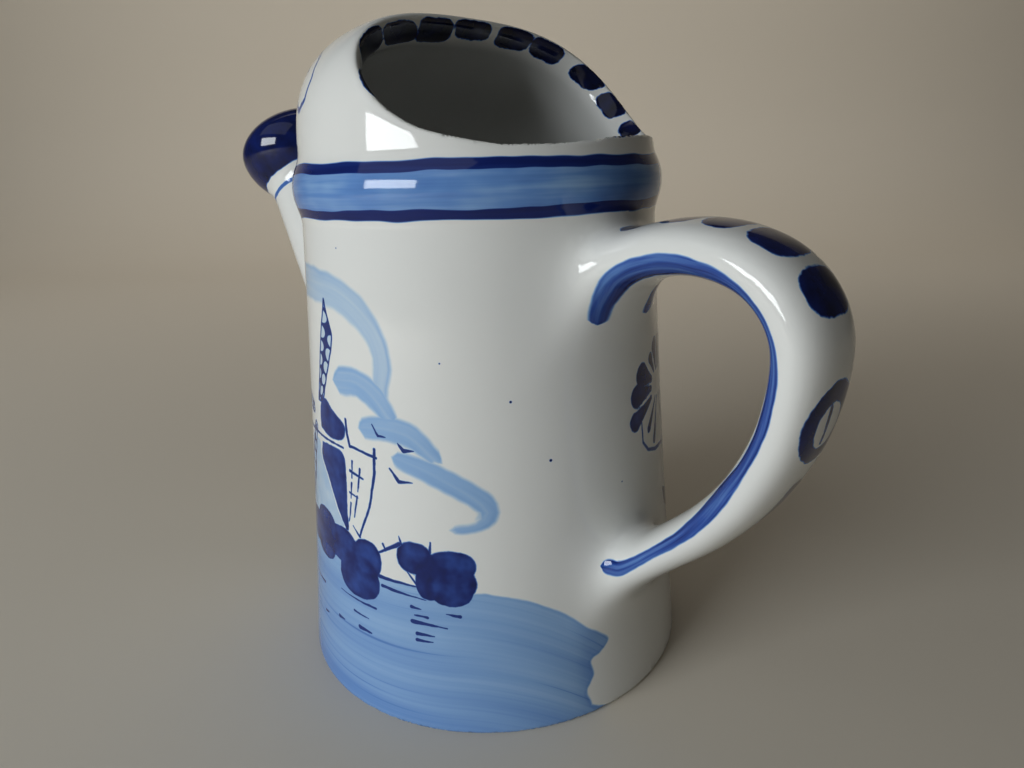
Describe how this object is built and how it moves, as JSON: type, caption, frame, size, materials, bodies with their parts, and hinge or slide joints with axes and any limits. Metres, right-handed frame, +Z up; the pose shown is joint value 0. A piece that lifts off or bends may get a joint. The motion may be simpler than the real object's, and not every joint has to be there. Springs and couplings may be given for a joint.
{
  "type": "delftware jug",
  "caption": "Small glazed earthenware jug shaped like a watering can, with a hooded open mouth, a strap handle, a straight spout with a pierced rose and blue painted scenes.",
  "frame": {"origin": "centre of the flat underside, on the axis of the round body", "axes": "+X towards the spout, -X towards the handle, +Y towards the side painted with the windmill, +Z up"},
  "size_m": [0.159, 0.0808, 0.124],
  "materials": {
    "glaze": "glossy tin-white glaze, hand painted in cobalt blue"
  },
  "bodies": {
    "root": {"jug": "glaze"}
  },
  "joints": []
}
